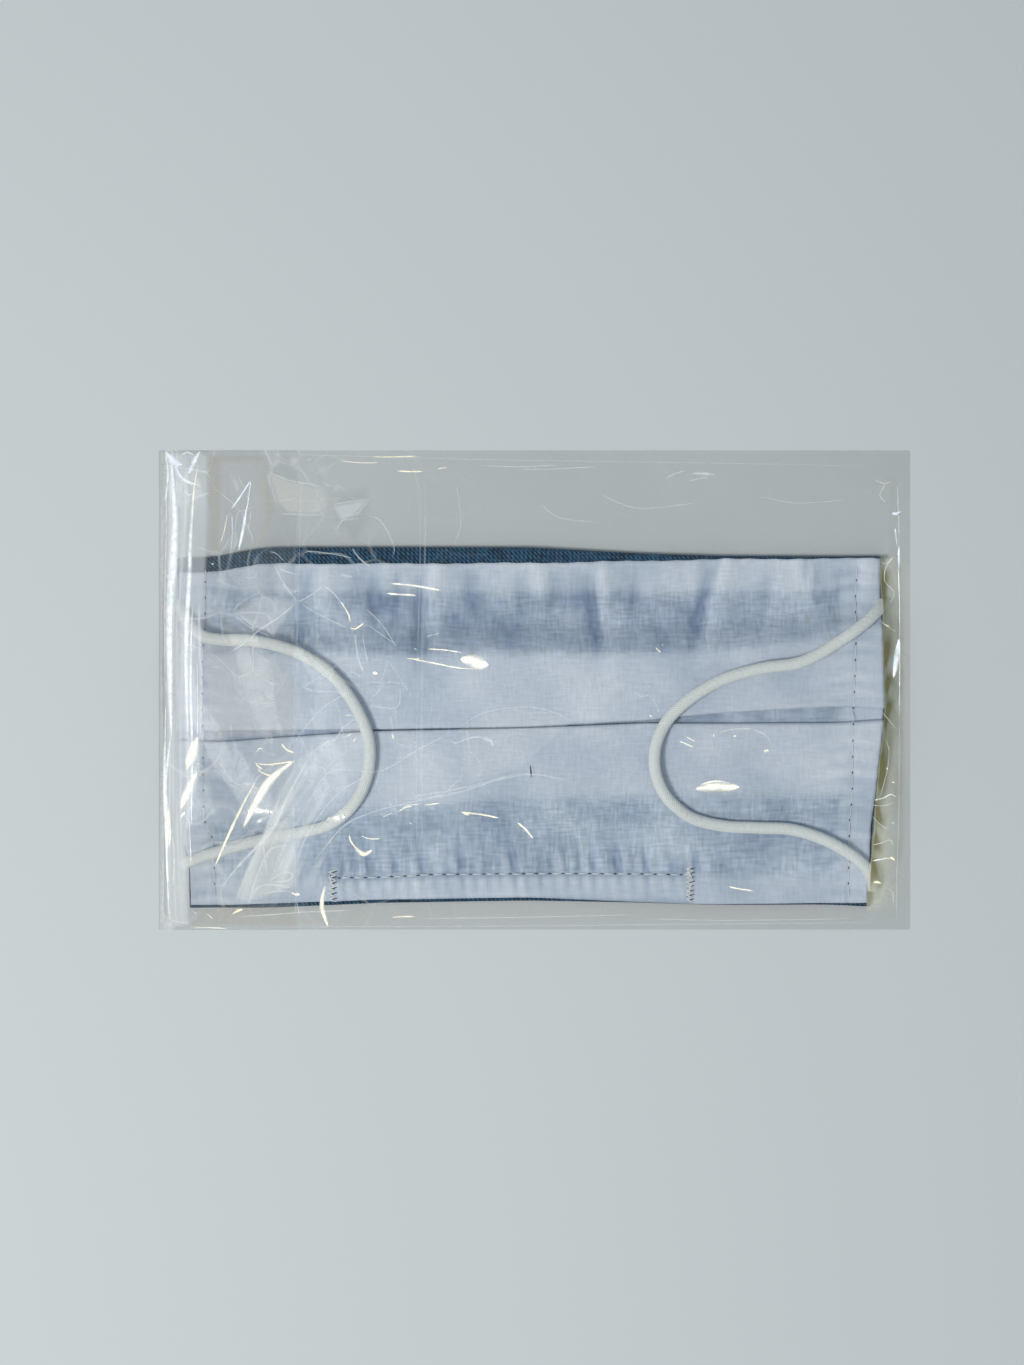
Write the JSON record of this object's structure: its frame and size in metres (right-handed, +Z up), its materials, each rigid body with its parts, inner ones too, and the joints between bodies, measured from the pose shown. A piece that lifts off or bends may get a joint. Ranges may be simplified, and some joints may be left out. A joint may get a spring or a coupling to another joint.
{
  "type": "pleated cloth face mask in a clear film packet",
  "caption": "Pleated two-layer cloth face mask with elastic ear loops, lying lining side up in a flat clear film packet with a folded-over flap.",
  "frame": {"origin": "middle of the packet's underside", "axes": "+X along the packet's length towards the mask's right ear loop, +Y across it towards the packet's empty end, +Z up from the surface it lies on"},
  "size_m": [0.1889, 0.1204, 0.0121],
  "materials": {
    "outer": "dark navy cotton twill",
    "lining": "white cotton lawn",
    "elastic": "knitted off-white round elastic",
    "film": "clear glossy film"
  },
  "bodies": {
    "root": {"outer_cloth": "outer", "lining": "lining", "ear_loop_right": "elastic", "ear_loop_left": "elastic", "packet_back_and_flap": "film", "packet_front": "film"}
  },
  "joints": []
}
